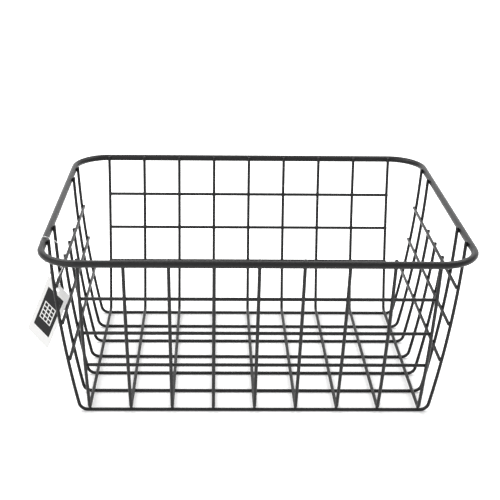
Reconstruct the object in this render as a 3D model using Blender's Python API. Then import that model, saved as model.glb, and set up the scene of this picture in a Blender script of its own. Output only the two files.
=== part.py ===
"""Wire basket: a welded grid of steel wire under a thick rod rim, with a hand hole at each end.

Metres, +Z up, +X along the basket, +Y to the back. The origin is on the floor under the
middle of the grid.
"""

import math

import bpy
from mathutils import Matrix, Vector

# Wire and rod
WIRE_DIAMETER = 0.0033
ROD_DIAMETER = 0.0068
WELD_GAP = 0.0003

# Grid of the floor
LONG_WIRE_COUNT = 7
CROSS_WIRE_COUNT = 9
LONG_WIRE_SPACING = 0.036
CROSS_WIRE_SPACING = 0.040
END_RUN_ON = 0.0022
FRONT_RUN_ON = -0.0019

# Walls
RIM_HEIGHT = 0.176
RIM_CORNER_RADIUS = 0.036
END_BEND_RADIUS = 0.0085
FRONT_BEND_RADIUS = 0.0065
END_TOP_LEAN = math.radians(2.1)
END_FOOT_LEAN = math.radians(11.2)
FRONT_TOP_LEAN = math.radians(6.7)
FRONT_FOOT_LEAN = math.radians(19.1)
LONG_WIRE_RISE = 0.0038
CROSS_WIRE_RISE = 0.0028

# Rails
RAIL_COUNT = 3
RAIL_SPACING = 0.038
LONG_RAIL_HEIGHT = 0.1365
END_RAIL_HEIGHT = 0.1335
RAIL_OVERHANG = 0.0015

# Hand holes
SHORT_WIRE_COUNT = 3
SHORT_WIRE_RISE = 0.0015

# Hang tag: its centre, then how it is turned from the front, how it leans and how it is tilted
TAG_WIDTH = 0.0311
TAG_LENGTH = 0.0693
TAG_THICKNESS = 0.0005
TAG_CORNER_RADIUS = 0.0015
TAG_HOLE_DIAMETER = 0.004
TAG_HOLE_INSET = 0.0055
TAG_CENTRE = (-0.1982, -0.0900, 0.0974)
TAG_TURN = math.radians(37.9)
TAG_LEAN = math.radians(-5.0)
TAG_TILT = math.radians(-24.8)

# Nylon loop: chosen places along it, from the rim's outer side over the top, down inside and back
LOOP_DIAMETER = 0.0008
LOOP_ROUTE = (
    (-0.19960, -0.1025, 0.1760),
    (-0.19840, -0.1025, 0.1790),
    (-0.19545, -0.1025, 0.1803),
    (-0.19220, -0.1025, 0.1796),
    (-0.18870, -0.1025, 0.1782),
    (-0.18530, -0.1025, 0.1757),
    (-0.18210, -0.1025, 0.1722),
    (-0.17950, -0.1023, 0.1665),
    (-0.17880, -0.1017, 0.1595),
    (-0.17960, -0.1008, 0.1525),
    (-0.18140, -0.0997, 0.1465),
    (-0.18430, -0.0983, 0.1405),
    (-0.18700, -0.0967, 0.1352),
    (-0.18640, -0.0956, 0.1310),
    (-0.18460, -0.0950, 0.1283),
    (-0.18510, -0.0946, 0.1257),
    (-0.18660, -0.0958, 0.1249),
    (-0.18740, -0.0973, 0.1262),
    (-0.18740, -0.0983, 0.1288),
    (-0.18940, -0.0982, 0.1335),
    (-0.19200, -0.0988, 0.1410),
    (-0.19480, -0.0999, 0.1500),
    (-0.19720, -0.1011, 0.1600),
    (-0.19930, -0.1021, 0.1700),
)
LOCK_PLACE = 9
LOCK_DIAMETER = 0.0024
LOCK_LENGTH = 0.0045

# Facets
WIRE_SIDES = 12
ROD_SIDES = 16
LOOP_SIDES = 8
BEND_STEPS = 5
WALL_STEPS = 5
CORNER_STEPS = 8
LOOP_STEPS = 3
ROUND_STEPS = 24
TAG_CORNER_STEPS = 4

# Colours, linear RGB, with roughness and metallic value
COAT_COLOUR = (0.020, 0.020, 0.021)
COAT_ROUGHNESS = 0.42
CARD_COLOUR = (0.86, 0.85, 0.83)
CARD_ROUGHNESS = 0.75
NYLON_COLOUR = (0.80, 0.80, 0.78)
NYLON_ROUGHNESS = 0.30

WIRE_RADIUS = WIRE_DIAMETER / 2
ROD_RADIUS = ROD_DIAMETER / 2
CROSSING = WIRE_DIAMETER + WELD_GAP
SEAT = ROD_RADIUS + WIRE_RADIUS + WELD_GAP
LONG_WIRE_LEVEL = WIRE_RADIUS
CROSS_WIRE_LEVEL = LONG_WIRE_LEVEL + CROSSING


class Wall:
    """Side view of one pair of opposite walls: a floor run, a bend and a gently bowed upright."""

    def __init__(self, outer_crossing, run_on, level, bend_radius, foot_lean, top_lean):
        self.level = level
        self.bend_radius = bend_radius
        self.foot_lean = foot_lean
        self.top_lean = top_lean
        self.run = outer_crossing + run_on
        self.foot_height = level + bend_radius * (1 - math.sin(foot_lean))
        rise = RIM_HEIGHT - self.foot_height
        self.bow_radius = rise / (math.sin(foot_lean) - math.sin(top_lean))
        foot = self.run + bend_radius * math.cos(foot_lean)
        self.top = foot + self.bow_radius * (math.cos(top_lean) - math.cos(foot_lean))
        self.rim = self.top + SEAT

    def lean_at(self, height):
        return math.asin(math.sin(self.top_lean) + (RIM_HEIGHT - height) / self.bow_radius)

    def offset_at(self, height, seat_loss=0.0):
        """Distance of the upright's centre from the middle of the basket."""
        inward = self.bow_radius * (math.cos(self.top_lean) - math.cos(self.lean_at(height)))
        climbed = (height - self.foot_height) / (RIM_HEIGHT - self.foot_height)
        return self.top - inward - seat_loss * climbed

    def rail_offset(self, height, seat_loss=0.0):
        """Distance of a rail's centre that lies against the inside of the uprights."""
        return self.offset_at(height, seat_loss) - CROSSING / math.cos(self.lean_at(height))

    def half_profile(self, top_height, seat_loss=0.0):
        """Points (offset, height) from the start of the bend up to the top of the upright."""
        points = []
        turn = math.pi / 2 - self.foot_lean
        for step in range(BEND_STEPS):
            angle = turn * step / BEND_STEPS
            offset = self.run + self.bend_radius * math.sin(angle)
            points.append((offset, self.level + self.bend_radius * (1 - math.cos(angle))))
        for step in range(WALL_STEPS + 1):
            height = self.foot_height + (top_height - self.foot_height) * step / WALL_STEPS
            points.append((self.offset_at(height, seat_loss), height))
        return points

    def profile(self, top_height, seat_loss=0.0):
        """Points of the whole U, from one top to the other."""
        right = self.half_profile(top_height, seat_loss)
        left = [(-offset, height) for offset, height in reversed(right)]
        return left + right


def spread(count, spacing):
    """Places of evenly spaced copies about the middle."""
    return [(index - (count - 1) / 2) * spacing for index in range(count)]


LONG_WIRE_PLACES = spread(LONG_WIRE_COUNT, LONG_WIRE_SPACING)
CROSS_WIRE_PLACES = spread(CROSS_WIRE_COUNT, CROSS_WIRE_SPACING)
END_WALL = Wall(
    CROSS_WIRE_PLACES[-1], END_RUN_ON, LONG_WIRE_LEVEL, END_BEND_RADIUS, END_FOOT_LEAN, END_TOP_LEAN
)
FRONT_WALL = Wall(
    LONG_WIRE_PLACES[-1], FRONT_RUN_ON, CROSS_WIRE_LEVEL, FRONT_BEND_RADIUS, FRONT_FOOT_LEAN, FRONT_TOP_LEAN
)


def seat_loss(place, rim_half):
    """How far the rim's corner, where it has begun to turn, pushes in an upright at this place."""
    past = abs(place) - (rim_half - RIM_CORNER_RADIUS)
    if past <= 0:
        return 0.0
    reach = RIM_CORNER_RADIUS - SEAT
    return reach - math.sqrt(max(reach**2 - past**2, 0.0))


def clear_scene():
    for existing in list(bpy.data.objects):
        bpy.data.objects.remove(existing, do_unlink=True)


def make_material(name, colour, roughness, metallic=0.0):
    material = bpy.data.materials.new(name)
    material.use_nodes = True
    shader = material.node_tree.nodes["Principled BSDF"]
    shader.inputs["Base Color"].default_value = (*colour, 1.0)
    shader.inputs["Roughness"].default_value = roughness
    shader.inputs["Metallic"].default_value = metallic
    return material


def make_rod(name, points, diameter, sides, material, closed=False, swell=None):
    """A round rod along the points, its flats as far apart as the real round is thick."""
    curve = bpy.data.curves.new(name, "CURVE")
    curve.dimensions = "3D"
    curve.bevel_depth = diameter / 2 / math.cos(math.pi / sides)
    curve.bevel_resolution = sides // 2 - 2
    curve.use_fill_caps = not closed
    spline = curve.splines.new("POLY")
    spline.points.add(len(points) - 1)
    spline.use_cyclic_u = closed
    for index, (point, place) in enumerate(zip(spline.points, points)):
        point.co = (*place, 1.0)
        point.tilt = math.pi / sides
        point.radius = swell[index] if swell else 1.0
    rod = bpy.data.objects.new(name, curve)
    curve.materials.append(material)
    bpy.context.scene.collection.objects.link(rod)
    return rod


def make_rim(material):
    """The rim's loop: four straight runs joined by corner arcs."""
    points = []
    for corner in range(4):
        across = END_WALL.rim - RIM_CORNER_RADIUS
        deep = FRONT_WALL.rim - RIM_CORNER_RADIUS
        centre_x = across if corner in (0, 3) else -across
        centre_y = deep if corner in (0, 1) else -deep
        for step in range(CORNER_STEPS + 1):
            angle = math.pi / 2 * (corner + step / CORNER_STEPS)
            x = centre_x + RIM_CORNER_RADIUS * math.cos(angle)
            y = centre_y + RIM_CORNER_RADIUS * math.sin(angle)
            points.append((x, y, RIM_HEIGHT))
    make_rod("rim_rod", points, ROD_DIAMETER, ROD_SIDES, material, closed=True)


def make_long_wires(material):
    """U wires along X. The middle ones stop short and leave the hand holes."""
    short_reach = (SHORT_WIRE_COUNT - 1) / 2
    middle = (LONG_WIRE_COUNT - 1) / 2
    for index, y in enumerate(LONG_WIRE_PLACES):
        is_short = abs(index - middle) <= short_reach
        top = END_RAIL_HEIGHT + SHORT_WIRE_RISE if is_short else RIM_HEIGHT + LONG_WIRE_RISE
        loss = 0.0 if is_short else seat_loss(y, FRONT_WALL.rim)
        points = [(x, y, z) for x, z in END_WALL.profile(top, loss)]
        make_rod(f"long_wire_{index + 1}", points, WIRE_DIAMETER, WIRE_SIDES, material)


def make_cross_wires(material):
    """U wires along Y, lying on the long wires."""
    for index, x in enumerate(CROSS_WIRE_PLACES):
        loss = seat_loss(x, END_WALL.rim)
        points = [(x, y, z) for y, z in FRONT_WALL.profile(RIM_HEIGHT + CROSS_WIRE_RISE, loss)]
        make_rod(f"cross_wire_{index + 1}", points, WIRE_DIAMETER, WIRE_SIDES, material)


def make_long_rails(material):
    """Straight rails inside the front and back walls."""
    reach = CROSS_WIRE_PLACES[-1] + RAIL_OVERHANG
    loss = seat_loss(CROSS_WIRE_PLACES[-1], END_WALL.rim)
    for side, sign in (("front", -1), ("back", 1)):
        for index in range(RAIL_COUNT):
            z = LONG_RAIL_HEIGHT - index * RAIL_SPACING
            y = sign * FRONT_WALL.rail_offset(z, loss)
            points = [(-reach, y, z), (reach, y, z)]
            make_rod(f"{side}_rail_{index + 1}", points, WIRE_DIAMETER, WIRE_SIDES, material)


def end_rail_place(index):
    """Offset and height of one end rail, counted from the top."""
    z = END_RAIL_HEIGHT - index * RAIL_SPACING
    loss = seat_loss(LONG_WIRE_PLACES[-1], FRONT_WALL.rim)
    return END_WALL.rail_offset(z, loss), z


def make_end_rails(material):
    """Straight rails inside the end walls."""
    reach = LONG_WIRE_PLACES[-1] + RAIL_OVERHANG
    for side, sign in (("left", -1), ("right", 1)):
        for index in range(RAIL_COUNT):
            offset, z = end_rail_place(index)
            points = [(sign * offset, -reach, z), (sign * offset, reach, z)]
            make_rod(f"{side}_rail_{index + 1}", points, WIRE_DIAMETER, WIRE_SIDES, material)


def tag_axes():
    """The tag's width, length and face directions."""
    width = Vector((math.cos(TAG_TURN), -math.sin(TAG_TURN), 0.0))
    rise = Vector((0.0, 0.0, 1.0))
    up = rise * math.cos(TAG_LEAN) + width.cross(rise) * math.sin(TAG_LEAN)
    across = width * math.cos(TAG_TILT) + up * math.sin(TAG_TILT)
    along = up * math.cos(TAG_TILT) - width * math.sin(TAG_TILT)
    return across, along, across.cross(along)


def ring(centre_u, centre_v, radius, first, sweep, steps):
    """Points on an arc in the tag's own plane."""
    points = []
    for step in range(steps + 1):
        angle = first + sweep * step / steps
        points.append((centre_u + radius * math.cos(angle), centre_v + radius * math.sin(angle)))
    return points


def make_tag(material):
    """A thin card with rounded corners and a round hole near the middle of its top edge."""
    inner_u = TAG_WIDTH / 2 - TAG_CORNER_RADIUS
    inner_v = TAG_LENGTH / 2 - TAG_CORNER_RADIUS
    quarter = math.pi / 2
    outline = []
    for index, (side_u, side_v) in enumerate(((1, 1), (-1, 1), (-1, -1), (1, -1))):
        u, v = side_u * inner_u, side_v * inner_v
        outline += ring(u, v, TAG_CORNER_RADIUS, quarter * index, quarter, TAG_CORNER_STEPS)
    hole_v = TAG_LENGTH / 2 - TAG_HOLE_INSET
    hole = ring(0.0, hole_v, TAG_HOLE_DIAMETER / 2, 0.0, 2 * math.pi, ROUND_STEPS)[:-1]
    card = bpy.data.curves.new("tag_card", "CURVE")
    card.dimensions = "2D"
    card.fill_mode = "BOTH"
    card.extrude = TAG_THICKNESS / 2
    for loop in (outline, hole):
        spline = card.splines.new("POLY")
        spline.points.add(len(loop) - 1)
        spline.use_cyclic_u = True
        for point, (u, v) in zip(spline.points, loop):
            point.co = (u, v, 0.0, 1.0)
    tag = bpy.data.objects.new("tag_card", card)
    card.materials.append(material)
    bpy.context.scene.collection.objects.link(tag)
    axes = tag_axes()
    place = Matrix((axes[0], axes[1], axes[2])).transposed().to_4x4()
    place.translation = TAG_CENTRE
    tag.matrix_world = place
    return tag


def smooth_loop(anchors, steps):
    """Closed Catmull-Rom curve through the anchors."""
    points = []
    count = len(anchors)
    for index in range(count):
        before, start, end, after = (anchors[(index + k) % count] for k in (-1, 0, 1, 2))
        for step in range(steps):
            t = step / steps
            point = (
                2 * start
                + (end - before) * t
                + (2 * before - 5 * start + 4 * end - after) * t**2
                + (3 * start - before - 3 * end + after) * t**3
            ) / 2
            points.append(point)
    return points


def make_loop(material):
    """Nylon loop over the rim and through the tag's hole, with the barrel of its snap lock."""
    points = smooth_loop([Vector(place) for place in LOOP_ROUTE], LOOP_STEPS)
    lock = Vector(LOOP_ROUTE[LOCK_PLACE])
    swell = []
    for point in points:
        near = (point - lock).length <= LOCK_LENGTH / 2
        swell.append(LOCK_DIAMETER / LOOP_DIAMETER if near else 1.0)
    return make_rod("tag_loop", points, LOOP_DIAMETER, LOOP_SIDES, material, True, swell)


def main():
    clear_scene()
    coat = make_material("black_coat", COAT_COLOUR, COAT_ROUGHNESS)
    card = make_material("white_card", CARD_COLOUR, CARD_ROUGHNESS)
    nylon = make_material("clear_nylon", NYLON_COLOUR, NYLON_ROUGHNESS)
    make_rim(coat)
    make_long_wires(coat)
    make_cross_wires(coat)
    make_long_rails(coat)
    make_end_rails(coat)
    make_tag(card)
    make_loop(nylon)


main()
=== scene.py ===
"""Wire basket: finished wire, rod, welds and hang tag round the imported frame.

Metres, +Z up, +X along the basket, +Y to the back, the same frame as the solids.
"""

import math
from typing import NamedTuple

import bpy
from mathutils import Matrix, Vector


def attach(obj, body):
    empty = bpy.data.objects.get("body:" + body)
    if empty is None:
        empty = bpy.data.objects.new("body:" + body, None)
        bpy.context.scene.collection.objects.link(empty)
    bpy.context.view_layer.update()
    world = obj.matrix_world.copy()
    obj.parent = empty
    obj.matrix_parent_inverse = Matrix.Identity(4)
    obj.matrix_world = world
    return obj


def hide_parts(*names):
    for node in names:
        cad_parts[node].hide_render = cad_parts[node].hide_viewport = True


bl_info = {
    "name": "Wire Basket",
    "version": (1, 0, 0),
    "blender": (4, 5, 0),
    "location": "View3D > Sidebar > Basket",
    "description": "Builds a coated wire basket with welds and a hang tag",
    "category": "Object",
}

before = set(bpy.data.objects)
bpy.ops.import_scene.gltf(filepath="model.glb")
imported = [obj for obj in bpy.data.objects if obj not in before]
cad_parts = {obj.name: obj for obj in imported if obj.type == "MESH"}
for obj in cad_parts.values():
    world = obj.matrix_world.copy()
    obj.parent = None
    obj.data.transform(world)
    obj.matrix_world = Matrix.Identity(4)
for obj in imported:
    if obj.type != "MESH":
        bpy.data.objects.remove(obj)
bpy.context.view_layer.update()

# Wire and rod
WIRE_RADIUS = 0.00165
ROD_RADIUS = 0.0034
WELD_GAP = 0.0003
CROSSING = 2 * WIRE_RADIUS + WELD_GAP
RAIL_SET_DOWN = 0.0010
RAIL_DISTANCE = 2 * WIRE_RADIUS - RAIL_SET_DOWN

# A cut end is softened in steps: the share of the width that is left, and the length in wire radii
CUT_END_STEPS = ((0.93, 0.25), (0.72, 0.14))
CUT_END_LENGTH = WIRE_RADIUS * sum(length for share, length in CUT_END_STEPS)

# Grid, rim and rails. The short long wires stop below the hand holes, the others at the rim
LONG_WIRE_SPACING = 0.036
CROSS_WIRE_SPACING = 0.040
LONG_WIRE_PLACES = [(index - 3) * LONG_WIRE_SPACING for index in range(7)]
CROSS_WIRE_PLACES = [(index - 4) * CROSS_WIRE_SPACING for index in range(9)]
SHORT_LONG_WIRES = (2, 3, 4)
RIM_HEIGHT = 0.176
RIM_CORNER_RADIUS = 0.036
LONG_TOP_HEIGHT = RIM_HEIGHT + 0.0038
CROSS_TOP_HEIGHT = RIM_HEIGHT + 0.0028
SHORT_TOP_HEIGHT = 0.1350
LONG_RAIL_HEIGHTS = (0.1365, 0.0985, 0.0605)
END_RAIL_HEIGHTS = (0.1335, 0.0955, 0.0575)
RAIL_OVERHANG = 0.0015

# Fineness of the round forms, and the angles in degrees above which their edges stay sharp
WIRE_SIDES = 20
ROD_SIDES = 40
BEND_STEPS = 10
BOW_STEPS = 12
RIM_CORNER_STEPS = 24
WIRE_EDGE_ANGLE = 50.0
WELD_EDGE_ANGLE = 80.0
PRINT_EDGE_ANGLE = 30.0
MERGE_DISTANCE = 0.00001

# Welds: how far below the rod's middle those at the rim sit, and how the nuggets differ
RIM_WELD_DROP = 0.0004
NUGGET_UNEVENNESS = 0.08
NUGGET_UNIFORM_SHARE = 0.2
NUGGET_SEED = 4
WELD_TURN_STEP = 2.4
WELD_SIZE_STEP = 5.1
WELD_SIZE_CHANGE = 0.06

# Tag
TAG_THICKNESS = 0.0005
TAG_CENTRE = (-0.1982, -0.0900, 0.0974)
TAG_TURN = math.radians(37.9)
TAG_LEAN = math.radians(-5.0)
TAG_TILT = math.radians(-24.8)
INK_THICKNESS = 0.00004
PANEL_LOW = (-0.0108, -0.0232)
PANEL_HIGH = (0.0116, 0.0243)

# Plain lattice in the panel: the middle lines of its bars, and half a bar's width
LATTICE_ACROSS = (-0.0072, -0.0024, 0.0024, 0.0072)
LATTICE_ALONG = (-0.0110, -0.0062, -0.0014, 0.0034, 0.0082)
LATTICE_HALF_BAR = 0.0006

# Nylon loop: chosen places along it, from its lock up inside, over the rim, down outside and back
LOOP_DIAMETER = 0.0008
LOOP_ROUTE = (
    (-0.17960, -0.1008, 0.1525),
    (-0.17880, -0.1017, 0.1595),
    (-0.17950, -0.1023, 0.1665),
    (-0.18210, -0.1025, 0.1722),
    (-0.18530, -0.1025, 0.1757),
    (-0.18870, -0.1025, 0.1782),
    (-0.19220, -0.1025, 0.1796),
    (-0.19545, -0.1025, 0.1803),
    (-0.19840, -0.1025, 0.1790),
    (-0.19960, -0.1025, 0.1760),
    (-0.19930, -0.1021, 0.1700),
    (-0.19720, -0.1011, 0.1600),
    (-0.19480, -0.0999, 0.1500),
    (-0.19200, -0.0988, 0.1410),
    (-0.18940, -0.0982, 0.1335),
    (-0.18740, -0.0983, 0.1288),
    (-0.18740, -0.0973, 0.1262),
    (-0.18660, -0.0958, 0.1249),
    (-0.18510, -0.0946, 0.1257),
    (-0.18460, -0.0950, 0.1283),
    (-0.18640, -0.0956, 0.1310),
    (-0.18700, -0.0967, 0.1352),
    (-0.18430, -0.0983, 0.1405),
    (-0.18140, -0.0997, 0.1465),
)
LOOP_STEPS = 5
LOOP_BEVEL_STEPS = 3

# Snap lock, and how near to its middle the ends of the loop come
LOCK_RADIUS = 0.0012
LOCK_LENGTH = 0.0045
LOCK_SIDES = 16
LOCK_SHOULDER = LOCK_RADIUS * 0.35
LOCK_SHOULDER_STEPS = 3
LOCK_INSIDE = LOCK_LENGTH * 0.3

# Camera, fitted to the photograph
CAMERA_PLACE = (-0.04166, -0.97015, 0.52533)
CAMERA_PITCH = 0.38591
CAMERA_YAW = 0.01868
CAMERA_ROLL = 0.01127
CAMERA_LENS = 73.352
CAMERA_SENSOR = 36.0
CAMERA_SHIFT = (0.04, -0.01)
CAMERA_CLIP = (0.05, 50.0)

# Floor, and its painted glow towards white, seen by the camera and in reflections: under the basket,
# where the basket's shadow stays, and beyond it, where the glow washes the shadow out; half the size
# of the patch under the basket, and how far outside that patch the change begins and ends
FLOOR_SIZE = 12.0
FLOOR_LIFT = (0.20, 1.0)
FLOOR_PATCH = (0.160, 0.106, 0.0)
FLOOR_LIFT_REACH = (0.0, 0.055)

# Strength of the world as light, and as the white that the camera and reflections see
WORLD_STRENGTH = 0.30
SHOWN_WORLD_STRENGTH = 1.0
WHITE = (1.0, 1.0, 1.0, 1.0)

# Sockets of a Mix node that mixes colours
MIX_SHARE, MIX_FIRST, MIX_SECOND, MIX_COLOUR = 0, 6, 7, 2


class Lamp(NamedTuple):
    """A soft rectangular lamp. Its power is the setting of that name."""

    name: str
    place: tuple
    target: tuple
    size: tuple
    setting: str


LAMPS = (
    Lamp("softbox_left", (-0.6, 0.3, 1.25), (0.0, 0.1, 0.0), (0.8, 0.7), "left_power"),
    Lamp("softbox_right", (0.6, 0.3, 1.25), (0.0, 0.1, 0.0), (0.8, 0.7), "right_power"),
    Lamp("fill_light", (-1.5, -1.3, 0.9), (-0.2, 0.0, 0.1), (2.4, 1.8), "fill_power"),
    Lamp("backdrop_glow", (0.0, 2.2, 0.75), (0.0, 0.0, 0.4), (4.0, 1.5), "backdrop_power"),
)


class Wall:
    """Side view of two opposite walls: a floor bend, then a gently bowed upright, both arcs.

    An upright of the end walls ends a wire that runs along X, one of the front and back walls a
    wire along Y. Offsets are from the middle of the basket, and leans are from the vertical.
    """

    def __init__(self, names, along_x, run, level, bend_radius, foot_lean, top_lean, rim,
                 rail_heights, wire_places):
        self.names = names
        self.along_x = along_x
        self.run = run
        self.level = level
        self.bend_radius = bend_radius
        self.foot_lean = foot_lean
        self.top_lean = top_lean
        self.rim = rim
        self.rail_heights = rail_heights
        self.wire_places = wire_places
        self.foot = run + bend_radius * math.cos(foot_lean)
        self.foot_height = level + bend_radius * (1 - math.sin(foot_lean))
        rise = RIM_HEIGHT - self.foot_height
        self.bow_radius = rise / (math.sin(foot_lean) - math.sin(top_lean))
        self.top = self.foot + self.bow_radius * (math.cos(top_lean) - math.cos(foot_lean))

    def sides(self):
        """Name and direction of the two walls."""
        return zip(self.names, (-1, 1))

    def lean_at(self, height):
        """Angle of the upright from the vertical at a height."""
        return math.asin(math.sin(self.top_lean) + (RIM_HEIGHT - height) / self.bow_radius)

    def offset_at(self, height):
        """How far the middle of the upright's wire stands out at a height."""
        return self.top - self.bow_radius * (math.cos(self.top_lean) - math.cos(self.lean_at(height)))

    def bow_centre(self):
        """Offset and height of the middle of the upright's bow, which lies inwards of the wall."""
        offset = self.foot - self.bow_radius * math.cos(self.foot_lean)
        return offset, self.foot_height + self.bow_radius * math.sin(self.foot_lean)

    def rail_offset(self, height):
        """How far the middle of a rail stands out, set into the uprights by its weld."""
        return self.offset_at(height) - RAIL_DISTANCE / math.cos(self.lean_at(height))


END_WALL = Wall(
    names=("left", "right"), along_x=True,
    run=0.1622, level=WIRE_RADIUS, bend_radius=0.0085,
    foot_lean=math.radians(11.4), top_lean=math.radians(2.3), rim=0.1954,
    rail_heights=END_RAIL_HEIGHTS, wire_places=LONG_WIRE_PLACES,
)
FRONT_WALL = Wall(
    names=("front", "back"), along_x=False,
    run=0.1061, level=WIRE_RADIUS + CROSSING, bend_radius=0.0065,
    foot_lean=math.radians(19.2), top_lean=math.radians(6.8), rim=0.1557,
    rail_heights=LONG_RAIL_HEIGHTS, wire_places=CROSS_WIRE_PLACES,
)


# Settings that a user may change

class BasketCoatSettings(bpy.types.PropertyGroup):
    colour: bpy.props.FloatVectorProperty(
        name="Coat colour", description="Colour of the powder coat", subtype="COLOR",
        size=3, min=0.0, max=1.0, default=(0.008, 0.008, 0.0085),
    )
    roughness: bpy.props.FloatProperty(
        name="Coat roughness", description="How satin the powder coat is",
        min=0.0, max=1.0, default=0.36, subtype="FACTOR",
    )


class BasketWeldSettings(bpy.types.PropertyGroup):
    spread: bpy.props.FloatProperty(
        name="Weld spread", description="Half the width of a weld between two wires",
        default=0.0016, min=0.0005, max=0.003, unit="LENGTH",
    )
    depth: bpy.props.FloatProperty(
        name="Weld depth", description="Half the thickness of a weld between two wires",
        default=0.0008, min=0.0002, max=0.002, unit="LENGTH",
    )


class BasketTagSettings(bpy.types.PropertyGroup):
    card_colour: bpy.props.FloatVectorProperty(
        name="Card colour", description="Colour of the tag's board", subtype="COLOR",
        size=3, min=0.0, max=1.0, default=(0.90, 0.895, 0.885),
    )
    panel_colour: bpy.props.FloatVectorProperty(
        name="Panel colour", description="Colour of the tag's plain printed panel",
        subtype="COLOR", size=3, min=0.0, max=1.0, default=(0.008, 0.008, 0.0085),
    )


class BasketStageSettings(bpy.types.PropertyGroup):
    floor_colour: bpy.props.FloatVectorProperty(
        name="Floor colour", description="Colour of the studio floor", subtype="COLOR",
        size=3, min=0.0, max=1.0, default=(0.90, 0.90, 0.90),
    )
    left_power: bpy.props.FloatProperty(
        name="Left softbox power", description="Power of the lamp over the left end",
        default=9.6, min=0.0, max=500.0, unit="POWER",
    )
    right_power: bpy.props.FloatProperty(
        name="Right softbox power", description="Power of the lamp over the right end",
        default=8.2, min=0.0, max=500.0, unit="POWER",
    )
    fill_power: bpy.props.FloatProperty(
        name="Fill power",
        description="Power of the lamp at the front left that lights the tag",
        default=21.0, min=0.0, max=500.0, unit="POWER",
    )
    backdrop_power: bpy.props.FloatProperty(
        name="Backdrop power",
        description="Power of the bright backdrop that the rods mirror",
        default=12.0, min=0.0, max=500.0, unit="POWER",
    )


# Materials

class Grain(NamedTuple):
    """A noise pattern: cells per metre, the number of finer layers and how rough they are."""

    scale: float
    detail: float
    roughness: float = 0.5


class NodeBoard:
    """The node tree of a material or a world, with short calls to add and join nodes."""

    def __init__(self, owner):
        owner.use_nodes = True
        self.tree = owner.node_tree
        self.grains = {}

    def add(self, kind, **values):
        node = self.tree.nodes.new(kind)
        for key, value in values.items():
            setattr(node, key, value)
        return node

    def join(self, source, target):
        self.tree.links.new(source, target)

    def place(self):
        """Coordinates of the piece, whose object stands at the origin."""
        return self.add("ShaderNodeTexCoord").outputs["Object"]

    def noise(self, grain):
        """Value of a noise pattern, which is added when it is first asked for."""
        if grain not in self.grains:
            noise = self.add("ShaderNodeTexNoise")
            noise.inputs["Scale"].default_value = grain.scale
            noise.inputs["Detail"].default_value = grain.detail
            noise.inputs["Roughness"].default_value = grain.roughness
            self.join(self.place(), noise.inputs["Vector"])
            self.grains[grain] = noise.outputs["Fac"]
        return self.grains[grain]

    def spread(self, source, span, result):
        """Stretches the span of values to the pair of values in result."""
        node = self.add("ShaderNodeMapRange")
        for key, value in zip(("From Min", "From Max", "To Min", "To Max"), (*span, *result)):
            node.inputs[key].default_value = value
        self.join(source, node.inputs["Value"])
        return node.outputs["Result"]

    def blend(self, share, first, second):
        node = self.add("ShaderNodeMix", data_type="RGBA")
        node.inputs[MIX_FIRST].default_value = (*first, 1.0)
        node.inputs[MIX_SECOND].default_value = (*second, 1.0)
        self.join(share, node.inputs[MIX_SHARE])
        return node.outputs[MIX_COLOUR]

    def relief(self, height, strength, distance):
        node = self.add("ShaderNodeBump")
        node.inputs["Strength"].default_value = strength
        node.inputs["Distance"].default_value = distance
        self.join(height, node.inputs["Height"])
        return node.outputs["Normal"]

    def shown_share(self):
        """One for a ray from the camera or one that is mirrored or let through, nought for others."""
        path = self.add("ShaderNodeLightPath")
        shown = path.outputs["Is Camera Ray"]
        for name in ("Is Glossy Ray", "Is Transmission Ray"):
            either = self.add("ShaderNodeMath", operation="MAXIMUM")
            self.join(shown, either.inputs[0])
            self.join(path.outputs[name], either.inputs[1])
            shown = either.outputs[0]
        return shown


def lighter(colour, factor):
    """The colour times the factor, which darkens it where it is below one."""
    return tuple(min(value * factor, 1.0) for value in colour)


def surface(name, colours, tone, tone_span, gloss_span, roughness, gloss=None, specular=0.5,
            relief=None, relief_strength=0.0, relief_depth=0.0):
    """A finish whose colour, gloss and relief follow noise patterns. It is made only once.

    A span is the pair of noise values between which the colour or the roughness changes. The
    gloss follows the tone's pattern where it has none of its own.
    """
    made = bpy.data.materials.get(name)
    if made:
        return made
    material = bpy.data.materials.new(name)
    board = NodeBoard(material)
    shader = board.tree.nodes["Principled BSDF"]
    share = board.spread(board.noise(tone), tone_span, (0.0, 1.0))
    board.join(board.blend(share, *colours), shader.inputs["Base Color"])
    dullness = board.spread(board.noise(gloss or tone), gloss_span, roughness)
    board.join(dullness, shader.inputs["Roughness"])
    shader.inputs["Specular IOR Level"].default_value = specular
    if relief:
        normal = board.relief(board.noise(relief), relief_strength, relief_depth)
        board.join(normal, shader.inputs["Normal"])
    return material


def coat():
    """Satin powder coat: fine orange peel, uneven gloss and a slight change of depth in the black."""
    settings = bpy.context.scene.basket_coat
    return surface(
        "black_powder_coat",
        colours=(lighter(settings.colour, 0.85), lighter(settings.colour, 1.35)),
        tone=Grain(260.0, 3.0), tone_span=(0.35, 0.70),
        gloss=Grain(700.0, 2.0), gloss_span=(0.3, 0.7),
        roughness=(settings.roughness - 0.05, settings.roughness + 0.07), specular=0.25,
        relief=Grain(1400.0, 2.0, 0.55), relief_strength=0.22, relief_depth=0.00012,
    )


def weld_coat():
    """The coat over a weld: the same black, rougher and a little lighter where it is thin."""
    colour = bpy.context.scene.basket_coat.colour
    return surface(
        "coat_over_weld",
        colours=(colour, lighter(colour, 3.0)),
        tone=Grain(900.0, 3.0, 0.6), tone_span=(0.4, 0.75),
        gloss_span=(0.3, 0.7), roughness=(0.36, 0.52), specular=0.3,
        relief=Grain(2400.0, 3.0, 0.6), relief_strength=0.5, relief_depth=0.0002,
    )


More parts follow.
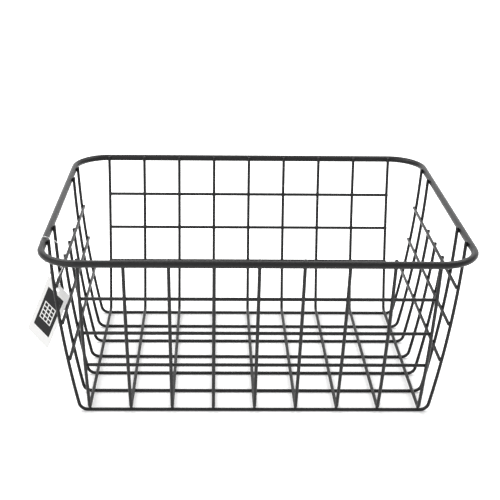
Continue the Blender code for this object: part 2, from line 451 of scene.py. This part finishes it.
def white_board(colour):
    """Uncoated white board with faint fibre flecks."""
    fibre = Grain(1500.0, 4.0, 0.65)
    return surface(
        "white_board",
        colours=(lighter(colour, 0.96), colour),
        tone=fibre, tone_span=(0.35, 0.7),
        gloss_span=(0.3, 0.7), roughness=(0.68, 0.82),
        relief=fibre, relief_strength=0.25, relief_depth=0.00006,
    )


def black_ink(colour):
    """Black ink on board: slightly glossier than the board and a little uneven."""
    return surface(
        "black_ink",
        colours=(colour, lighter(colour, 2.0)),
        tone=Grain(420.0, 4.0, 0.6), tone_span=(0.35, 0.75),
        gloss_span=(0.3, 0.7), roughness=(0.42, 0.55), specular=0.12,
        relief=Grain(1500.0, 4.0, 0.65), relief_strength=0.2, relief_depth=0.00005,
    )


def clear_nylon():
    """Clear nylon, cloudy inside."""
    material = surface(
        "clear_nylon_filament",
        colours=((0.86, 0.87, 0.87), (0.95, 0.95, 0.95)),
        tone=Grain(500.0, 2.0), tone_span=(0.3, 0.7),
        gloss_span=(0.3, 0.7), roughness=(0.22, 0.34),
    )
    shader = material.node_tree.nodes["Principled BSDF"]
    shader.inputs["Transmission Weight"].default_value = 0.35
    shader.inputs["IOR"].default_value = 1.53
    return material


def pale_floor(colour):
    """Pale floor with a painted glow to white for the camera and reflections: weak under the basket,
    where the basket's shadow stays on it, and full beyond it, where the glow washes the shadow out.
    """
    material = bpy.data.materials.new("studio_floor")
    board = NodeBoard(material)
    shader = board.tree.nodes["Principled BSDF"]
    shader.inputs["Base Color"].default_value = (*colour, 1.0)
    shader.inputs["Roughness"].default_value = 0.9
    shader.inputs["Specular IOR Level"].default_value = 0.0
    outside = board.place()
    for step, other in (("ABSOLUTE", None), ("SUBTRACT", FLOOR_PATCH), ("MAXIMUM", (0.0, 0.0, 0.0))):
        node = board.add("ShaderNodeVectorMath", operation=step)
        board.join(outside, node.inputs[0])
        if other:
            node.inputs[1].default_value = other
        outside = node.outputs[0]
    away = board.add("ShaderNodeVectorMath", operation="LENGTH")
    board.join(outside, away.inputs[0])
    amount = board.add("ShaderNodeMath", operation="MULTIPLY")
    board.join(board.shown_share(), amount.inputs[0])
    board.join(board.spread(away.outputs["Value"], FLOOR_LIFT_REACH, FLOOR_LIFT), amount.inputs[1])
    # Painted glow: emission seen by the camera and in reflections, weak under the basket, full beyond
    # it
    lift = board.add("ShaderNodeEmission")
    board.join(amount.outputs[0], lift.inputs["Strength"])
    both = board.add("ShaderNodeAddShader")
    board.join(shader.outputs[0], both.inputs[0])
    board.join(lift.outputs[0], both.inputs[1])
    board.join(both.outputs[0], board.tree.nodes["Material Output"].inputs["Surface"])
    return material


# Modelling steps

def add_primitive(operator, name, **values):
    """A new primitive under that name, the only thing selected."""
    bpy.ops.object.select_all(action="DESELECT")
    operator(**values)
    piece = bpy.context.object
    piece.name = name
    piece.data.name = name
    return piece


def edit_all():
    """Goes to edit mode with the whole mesh selected."""
    bpy.ops.object.mode_set(mode="EDIT")
    bpy.ops.mesh.select_all(action="SELECT")


def start_bar(name, place, along_x, radius, sides):
    """A new open ring that faces along X or Y, left in edit mode with all of it selected."""
    turn = (0.0, math.pi / 2, 0.0) if along_x else (math.pi / 2, 0.0, 0.0)
    bar = add_primitive(
        bpy.ops.mesh.primitive_circle_add, name,
        vertices=sides, radius=radius, fill_type="NOTHING", location=place, rotation=turn,
    )
    edit_all()
    return bar


def push(offset):
    """Extrudes the selected ring straight."""
    bpy.ops.mesh.extrude_region_move(TRANSFORM_OT_translate={"value": offset})


def sweep(centre, axis, angle, steps):
    """Extrudes the selected ring round an arc."""
    bpy.ops.mesh.spin(steps=steps, angle=angle, center=centre, axis=axis, dupli=False)


def cut_end(along, centre):
    """A sheared wire end with a softened edge, as the coat leaves it."""
    for share, length in CUT_END_STEPS:
        push(tuple(value * WIRE_RADIUS * length for value in along))
        bpy.ops.transform.resize(value=(share, share, share), center_override=centre)
    bpy.ops.mesh.edge_face_add()


def apply_modifier(piece, kind, **values):
    modifier = piece.modifiers.new(kind.lower(), kind)
    for key, value in values.items():
        setattr(modifier, key, value)
    bpy.context.view_layer.objects.active = piece
    bpy.ops.object.modifier_apply(modifier=modifier.name)


def smooth(piece, limit=WIRE_EDGE_ANGLE):
    bpy.ops.object.select_all(action="DESELECT")
    piece.select_set(True)
    bpy.context.view_layer.objects.active = piece
    bpy.ops.object.shade_smooth_by_angle(angle=math.radians(limit))


def complete_bar(bar, across_x, across_y):
    """Leaves edit mode with faces outwards and the place in the mesh, then mirrors the half or
    quarter about the basket's middle and smooths it."""
    bpy.ops.mesh.select_all(action="SELECT")
    bpy.ops.mesh.normals_make_consistent(inside=False)
    bpy.ops.object.mode_set(mode="OBJECT")
    bpy.ops.object.transform_apply(location=True, rotation=True, scale=True)
    apply_modifier(
        bar, "MIRROR", use_axis=(across_x, across_y, False), use_clip=True,
        merge_threshold=MERGE_DISTANCE,
    )
    smooth(bar)


def copy_of(piece, name, matrix):
    """A copy with its own mesh, set in place in that mesh."""
    twin = piece.copy()
    twin.data = piece.data.copy()
    twin.name = name
    twin.data.name = name
    twin.data.transform(matrix)
    bpy.context.scene.collection.objects.link(twin)
    return twin


def remove_piece(piece):
    bpy.data.objects.remove(piece, do_unlink=True)


def settle(piece, material, node, body="basket"):
    """Gives a finished piece its material and its body, and hides the solid that it stands for, if
    any.
    """
    piece.data.materials.clear()
    piece.data.materials.append(material)
    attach(piece, body)
    if node:
        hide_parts(node)


def in_plane(along_x, offset, height=0.0):
    """A place or direction in the upright plane through the basket's middle, along X or Y."""
    return (offset, 0.0, height) if along_x else (0.0, offset, height)


def u_wire(name, wall, top_height):
    """A U wire: half of it from the middle of the floor up to its cut end, then mirrored."""
    bend_height = wall.level + wall.bend_radius
    axis = in_plane(not wall.along_x, 1.0)
    sign = 1.0 if wall.along_x else -1.0
    start = in_plane(wall.along_x, 0.0, wall.level)
    wire = start_bar(name, start, wall.along_x, WIRE_RADIUS, WIRE_SIDES)
    push(in_plane(wall.along_x, wall.run))
    bend = math.pi / 2 - wall.foot_lean
    sweep(in_plane(wall.along_x, wall.run, bend_height), axis, sign * bend, BEND_STEPS)
    cut_height = top_height - CUT_END_LENGTH
    lean = wall.lean_at(cut_height)
    bow = wall.foot_lean - lean
    sweep(in_plane(wall.along_x, *wall.bow_centre()), axis, sign * bow, BOW_STEPS)
    cut = in_plane(wall.along_x, wall.offset_at(cut_height), cut_height)
    cut_end(in_plane(wall.along_x, math.sin(lean), math.cos(lean)), cut)
    complete_bar(wire, wall.along_x, not wall.along_x)
    return wire


def straight_rail(name, along_x, reach):
    """A straight rail through the origin with softened ends."""
    rail = start_bar(name, (0.0, 0.0, 0.0), along_x, WIRE_RADIUS, WIRE_SIDES)
    cut = in_plane(along_x, reach - CUT_END_LENGTH)
    push(cut)
    cut_end(in_plane(along_x, 1.0), cut)
    complete_bar(rail, along_x, not along_x)
    return rail


def tag_place():
    """Matrix from the card's own plane to its place by the left wall."""
    width = Vector((math.cos(TAG_TURN), -math.sin(TAG_TURN), 0.0))
    rise = Vector((0.0, 0.0, 1.0))
    up = rise * math.cos(TAG_LEAN) + width.cross(rise) * math.sin(TAG_LEAN)
    across = width * math.cos(TAG_TILT) + up * math.sin(TAG_TILT)
    along = up * math.cos(TAG_TILT) - width * math.sin(TAG_TILT)
    matrix = Matrix((across, along, across.cross(along))).transposed().to_4x4()
    matrix.translation = TAG_CENTRE
    return matrix


def loop_points():
    """Smooth line through the chosen places, from the top of the lock round to its bottom."""
    anchors = [Vector(place) for place in LOOP_ROUTE]
    count = len(anchors)
    points = []
    for index in range(count):
        before, start, end, after = (anchors[(index + k) % count] for k in (-1, 0, 1, 2))
        for step in range(LOOP_STEPS):
            t = step / LOOP_STEPS
            points.append((
                2 * start
                + (end - before) * t
                + (2 * before - 5 * start + 4 * end - after) * t**2
                + (3 * start - before - 3 * end + after) * t**3
            ) / 2)
    lock = anchors[0]
    return [point for point in points if (point - lock).length > LOCK_INSIDE]


# Operators

class BASKET_OT_stage(bpy.types.Operator):
    """Sets the camera, the pale floor and the soft studio light"""
    bl_idname = "basket.stage"
    bl_label = "Stage"

    def execute(self, context):
        settings = context.scene.basket_stage
        self.add_camera(context)
        self.add_floor(settings)
        self.add_lamps(settings)
        self.light_world(context)
        context.scene.view_settings.view_transform = "Standard"
        return {"FINISHED"}

    def add_camera(self, context):
        bpy.ops.object.camera_add()
        camera = context.object
        camera.name = "photo_camera"
        forward = Vector((
            math.sin(CAMERA_YAW) * math.cos(CAMERA_PITCH),
            math.cos(CAMERA_YAW) * math.cos(CAMERA_PITCH),
            -math.sin(CAMERA_PITCH),
        ))
        right = Vector((math.cos(CAMERA_YAW), -math.sin(CAMERA_YAW), 0.0))
        up = right.cross(forward)
        side = right * math.cos(CAMERA_ROLL) + up * math.sin(CAMERA_ROLL)
        top = up * math.cos(CAMERA_ROLL) - right * math.sin(CAMERA_ROLL)
        matrix = Matrix((side, top, -forward)).transposed().to_4x4()
        matrix.translation = CAMERA_PLACE
        camera.matrix_world = matrix
        camera.data.sensor_width = CAMERA_SENSOR
        camera.data.lens = CAMERA_LENS
        camera.data.shift_x, camera.data.shift_y = CAMERA_SHIFT
        camera.data.clip_start, camera.data.clip_end = CAMERA_CLIP
        context.scene.camera = camera

    def add_floor(self, settings):
        floor = add_primitive(bpy.ops.mesh.primitive_plane_add, "studio_floor", size=FLOOR_SIZE)
        floor.data.materials.append(pale_floor(settings.floor_colour))

    def add_lamps(self, settings):
        for name, place, target, size, setting in LAMPS:
            bpy.ops.object.light_add(type="AREA", location=place)
            lamp = bpy.context.object
            lamp.name = name
            lamp.data.shape = "RECTANGLE"
            lamp.data.size, lamp.data.size_y = size
            lamp.data.energy = getattr(settings, setting)
            aim = Vector(target) - Vector(place)
            lamp.rotation_euler = aim.to_track_quat("-Z", "Y").to_euler()

    def light_world(self, context):
        world = bpy.data.worlds.new("studio")
        context.scene.world = world
        board = NodeBoard(world)
        board.tree.nodes.clear()
        mix = board.add("ShaderNodeMixShader")
        board.join(board.shown_share(), mix.inputs[0])
        for strength, target in zip((WORLD_STRENGTH, SHOWN_WORLD_STRENGTH), mix.inputs[1:]):
            light = board.add("ShaderNodeBackground")
            light.inputs["Color"].default_value = WHITE
            light.inputs["Strength"].default_value = strength
            board.join(light.outputs[0], target)
        output = board.add("ShaderNodeOutputWorld")
        board.join(mix.outputs[0], output.inputs["Surface"])


class BASKET_OT_tag_card(bpy.types.Operator):
    """Gives the hang tag its board and lays the plain printed panel on its front"""
    bl_idname = "basket.tag_card"
    bl_label = "Tag card"

    def execute(self, context):
        settings = context.scene.basket_tag
        board = white_board(settings.card_colour)
        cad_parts["tag_card"].material_slots[0].material = board
        panel = self.cut_panel()
        self.open_lattice(panel)
        apply_modifier(panel, "SOLIDIFY", thickness=INK_THICKNESS, offset=0.0)
        lift = Matrix.Translation((0.0, 0.0, TAG_THICKNESS / 2))
        panel.data.transform(tag_place() @ lift)
        smooth(panel, PRINT_EDGE_ANGLE)
        settle(panel, black_ink(settings.panel_colour), None, "tag")
        return {"FINISHED"}

    def cut_panel(self):
        """The panel's outline, cut along the edges of the lattice."""
        panel = add_primitive(bpy.ops.mesh.primitive_plane_add, "tag_print", size=1.0)
        width, length = (high - low for low, high in zip(PANEL_LOW, PANEL_HIGH))
        middle = [(low + high) / 2 for low, high in zip(PANEL_LOW, PANEL_HIGH)]
        edit_all()
        bpy.ops.transform.resize(value=(width, length, 1.0))
        bpy.ops.transform.translate(value=(*middle, 0.0))
        for edge in (-LATTICE_HALF_BAR, LATTICE_HALF_BAR):
            for place in LATTICE_ACROSS:
                self.cut_line((place + edge, 0.0, 0.0), (1.0, 0.0, 0.0))
            for place in LATTICE_ALONG:
                self.cut_line((0.0, place + edge, 0.0), (0.0, 1.0, 0.0))
        bpy.ops.mesh.select_mode(type="FACE")
        bpy.ops.mesh.select_all(action="DESELECT")
        bpy.ops.object.mode_set(mode="OBJECT")
        return panel

    def cut_line(self, place, normal):
        bpy.ops.mesh.select_all(action="SELECT")
        bpy.ops.mesh.bisect(plane_co=place, plane_no=normal)

    def open_lattice(self, panel):
        """Takes the ink away from the bars of the lattice, so the board shows there."""
        for face in panel.data.polygons:
            face.select = self.on_lattice(face.center[0], face.center[1])
        bpy.ops.object.mode_set(mode="EDIT")
        bpy.ops.mesh.delete(type="FACE")
        bpy.ops.mesh.select_mode(type="VERT")
        bpy.ops.object.mode_set(mode="OBJECT")

    def on_lattice(self, across, along):
        """Whether a point of the panel lies on one of the unprinted bars."""
        lines = ((across, LATTICE_ACROSS), (along, LATTICE_ALONG))
        within = all(
            middles[0] - LATTICE_HALF_BAR < place < middles[-1] + LATTICE_HALF_BAR
            for place, middles in lines
        )
        return within and any(
            abs(place - middle) < LATTICE_HALF_BAR for place, middles in lines for middle in middles
        )


class BASKET_OT_tag_loop(bpy.types.Operator):
    """Lays the nylon loop over the rim and through the tag's hole, with its snap lock"""
    bl_idname = "basket.tag_loop"
    bl_label = "Tag loop"

    def execute(self, context):
        points = loop_points()
        curve = bpy.data.curves.new("nylon_loop", "CURVE")
        curve.dimensions = "3D"
        curve.bevel_depth = LOOP_DIAMETER / 2
        curve.bevel_resolution = LOOP_BEVEL_STEPS
        curve.use_fill_caps = True
        spline = curve.splines.new("POLY")
        spline.points.add(len(points) - 1)
        spline.use_smooth = True
        for point, place in zip(spline.points, points):
            point.co = (*place, 1.0)
        loop = bpy.data.objects.new("nylon_loop", curve)
        context.scene.collection.objects.link(loop)
        nylon = clear_nylon()
        lock = self.make_lock(points[-1], points[0])
        settle(lock, nylon, None, "tag")
        settle(loop, nylon, "tag_loop", "tag")
        return {"FINISHED"}

    def make_lock(self, low, high):
        """A small barrel with rounded shoulders that holds both ends of the loop."""
        lock = add_primitive(
            bpy.ops.mesh.primitive_cylinder_add, "loop_lock",
            vertices=LOCK_SIDES, radius=LOCK_RADIUS, depth=LOCK_LENGTH,
        )
        edit_all()
        bpy.ops.mesh.bevel(offset=LOCK_SHOULDER, segments=LOCK_SHOULDER_STEPS, affect="EDGES")
        bpy.ops.object.mode_set(mode="OBJECT")
        aim = (high - low).to_track_quat("Z", "Y").to_matrix().to_4x4()
        aim.translation = (low + high) / 2
        lock.data.transform(aim)
        smooth(lock)
        return lock


class BASKET_OT_rim(bpy.types.Operator):
    """Bends the thick rim rod: a quarter with its corner, mirrored twice"""
    bl_idname = "basket.rim"
    bl_label = "Rim"

    def execute(self, context):
        rim = start_bar("rim_bar", (END_WALL.rim, 0.0, RIM_HEIGHT), False, ROD_RADIUS, ROD_SIDES)
        corner_x = END_WALL.rim - RIM_CORNER_RADIUS
        corner_y = FRONT_WALL.rim - RIM_CORNER_RADIUS
        push((0.0, corner_y, 0.0))
        corner = (corner_x, corner_y, RIM_HEIGHT)
        sweep(corner, (0.0, 0.0, 1.0), -math.pi / 2, RIM_CORNER_STEPS)
        push((-corner_x, 0.0, 0.0))
        complete_bar(rim, True, True)
        settle(rim, coat(), "rim_rod")
        return {"FINISHED"}


class BASKET_OT_long_wires(bpy.types.Operator):
    """Bends the lengthwise U wires: tall ones up to the rim and short ones below the hand holes"""
    bl_idname = "basket.long_wires"
    bl_label = "Long wires"

    def execute(self, context):
        tall = u_wire("long_wire_tall", END_WALL, LONG_TOP_HEIGHT)
        short = u_wire("long_wire_short", END_WALL, SHORT_TOP_HEIGHT)
        for index, y in enumerate(LONG_WIRE_PLACES):
            source = short if index in SHORT_LONG_WIRES else tall
            wire = copy_of(source, f"long_bar_{index + 1}", Matrix.Translation((0.0, y, 0.0)))
            settle(wire, coat(), f"long_wire_{index + 1}")
        remove_piece(tall)
        remove_piece(short)
        return {"FINISHED"}


class BASKET_OT_cross_wires(bpy.types.Operator):
    """Bends the U wires that cross the floor from front to back"""
    bl_idname = "basket.cross_wires"
    bl_label = "Cross wires"

    def execute(self, context):
        source = u_wire("cross_wire_source", FRONT_WALL, CROSS_TOP_HEIGHT)
        for index, x in enumerate(CROSS_WIRE_PLACES):
            wire = copy_of(source, f"cross_bar_{index + 1}", Matrix.Translation((x, 0.0, 0.0)))
            settle(wire, coat(), f"cross_wire_{index + 1}")
        remove_piece(source)
        return {"FINISHED"}


class BASKET_OT_rails(bpy.types.Operator):
    """Cuts the straight rails and lays them inside the four walls"""
    bl_idname = "basket.rails"
    bl_label = "Rails"

    def execute(self, context):
        for wall in (FRONT_WALL, END_WALL):
            reach = wall.wire_places[-1] + RAIL_OVERHANG
            source = straight_rail("rail_source", not wall.along_x, reach)
            for side, sign in wall.sides():
                for index, height in enumerate(wall.rail_heights):
                    place = in_plane(wall.along_x, sign * wall.rail_offset(height), height)
                    rail = copy_of(source, f"{side}_bar_{index + 1}", Matrix.Translation(place))
                    settle(rail, coat(), f"{side}_rail_{index + 1}")
            remove_piece(source)
        return {"FINISHED"}


class BASKET_OT_welds(bpy.types.Operator):
    """Fills the crossings with small weld nuggets"""
    bl_idname = "basket.welds"
    bl_label = "Welds"

    def execute(self, context):
        settings = context.scene.basket_weld
        source = self.make_nugget()
        groups = {"floor_welds": self.floor_places()}
        for wall in (FRONT_WALL, END_WALL):
            for side, sign in wall.sides():
                groups[f"{side}_welds"] = self.rail_places(wall, sign)
        groups["rim_welds"] = self.rim_places()
        for name, places in groups.items():
            self.make_group(source, name, places, settings)
        remove_piece(source)
        return {"FINISHED"}

    def make_nugget(self):
        """One nugget of unit size, slightly lopsided."""
        nugget = add_primitive(
            bpy.ops.mesh.primitive_ico_sphere_add, "weld_nugget", subdivisions=2, radius=1.0
        )
        edit_all()
        bpy.ops.transform.vertex_random(
            offset=NUGGET_UNEVENNESS, uniform=NUGGET_UNIFORM_SHARE, seed=NUGGET_SEED
        )
        bpy.ops.object.mode_set(mode="OBJECT")
        smooth(nugget, WELD_EDGE_ANGLE)
        return nugget

    # A weld's place is its centre and the direction from one of its wires to the other

    def floor_places(self):
        height = END_WALL.level + CROSSING / 2
        return [
            (Vector((x, y, height)), Vector((0.0, 0.0, 1.0)))
            for x in CROSS_WIRE_PLACES
            for y in LONG_WIRE_PLACES
        ]

    def rail_places(self, wall, sign):
        """Welds between the rails and the uprights of one wall."""
        places = []
        for height in wall.rail_heights:
            lean = wall.lean_at(height)
            inward = Vector(in_plane(wall.along_x, -sign * math.cos(lean), math.sin(lean)))
            wire = Vector(in_plane(wall.along_x, sign * wall.offset_at(height), height))
            for along in wall.wire_places:
                upright = wire + Vector(in_plane(not wall.along_x, along))
                places.append((upright + inward * (RAIL_DISTANCE / 2), inward))
        return places

    def rim_places(self):
        """Welds between the rim and the tops of the uprights that reach it."""
        tall = [y for index, y in enumerate(LONG_WIRE_PLACES) if index not in SHORT_LONG_WIRES]
        height = RIM_HEIGHT - RIM_WELD_DROP
        places = []
        for sign in (-1, 1):
            for wall, wire_places in ((FRONT_WALL, CROSS_WIRE_PLACES), (END_WALL, tall)):
                offset = sign * (wall.rim - ROD_RADIUS - WELD_GAP / 2)
                for along in wire_places:
                    top = Vector(in_plane(wall.along_x, offset, height))
                    centre = top + Vector(in_plane(not wall.along_x, along))
                    places.append((centre, Vector(in_plane(wall.along_x, sign))))
        return places

    def make_group(self, source, name, places, settings):
        """Copies of the nugget at these places, joined to one piece."""
        bpy.ops.object.select_all(action="DESELECT")
        twins = []
        for index, (centre, across) in enumerate(places):
            matrix = across.to_track_quat("Z", "Y").to_matrix().to_4x4()
            matrix.translation = centre
            turn = Matrix.Rotation(index * WELD_TURN_STEP, 4, "Z")
            size = 1.0 + WELD_SIZE_CHANGE * math.sin(index * WELD_SIZE_STEP)
            width = settings.spread * size
            scale = Matrix.Diagonal((width, width, settings.depth, 1.0))
            twins.append(copy_of(source, f"{name}_{index}", matrix @ turn @ scale))
        for twin in twins:
            twin.select_set(True)
        bpy.context.view_layer.objects.active = twins[0]
        bpy.ops.object.join()
        group = bpy.context.object
        group.name = name
        group.data.name = name
        settle(group, weld_coat(), None)


class BASKET_PT_panel(bpy.types.Panel):
    """The basket's pieces and settings"""
    bl_idname = "BASKET_PT_panel"
    bl_label = "Wire basket"
    bl_space_type = "VIEW_3D"
    bl_region_type = "UI"
    bl_category = "Basket"

    def draw(self, context):
        for name in SETTINGS:
            settings = getattr(context.scene, name)
            box = self.layout.box()
            for key in settings.__annotations__:
                box.prop(settings, key)
        for step in STEPS:
            self.layout.operator(f"basket.{step}")


STEPS = ("stage", "tag_card", "tag_loop", "rim", "long_wires", "cross_wires", "rails", "welds")
SETTINGS = {
    "basket_coat": BasketCoatSettings,
    "basket_weld": BasketWeldSettings,
    "basket_tag": BasketTagSettings,
    "basket_stage": BasketStageSettings,
}
CLASSES = (
    *SETTINGS.values(),
    BASKET_OT_stage,
    BASKET_OT_tag_card,
    BASKET_OT_tag_loop,
    BASKET_OT_rim,
    BASKET_OT_long_wires,
    BASKET_OT_cross_wires,
    BASKET_OT_rails,
    BASKET_OT_welds,
    BASKET_PT_panel,
)


def register():
    for kind in CLASSES:
        bpy.utils.register_class(kind)
    for name, kind in SETTINGS.items():
        setattr(bpy.types.Scene, name, bpy.props.PointerProperty(type=kind))


def unregister():
    for name in SETTINGS:
        delattr(bpy.types.Scene, name)
    for kind in reversed(CLASSES):
        bpy.utils.unregister_class(kind)


def main():
    register()
    for step in STEPS:
        getattr(bpy.ops.basket, step)()
    bpy.context.view_layer.update()


if __name__ == "__main__":
    main()
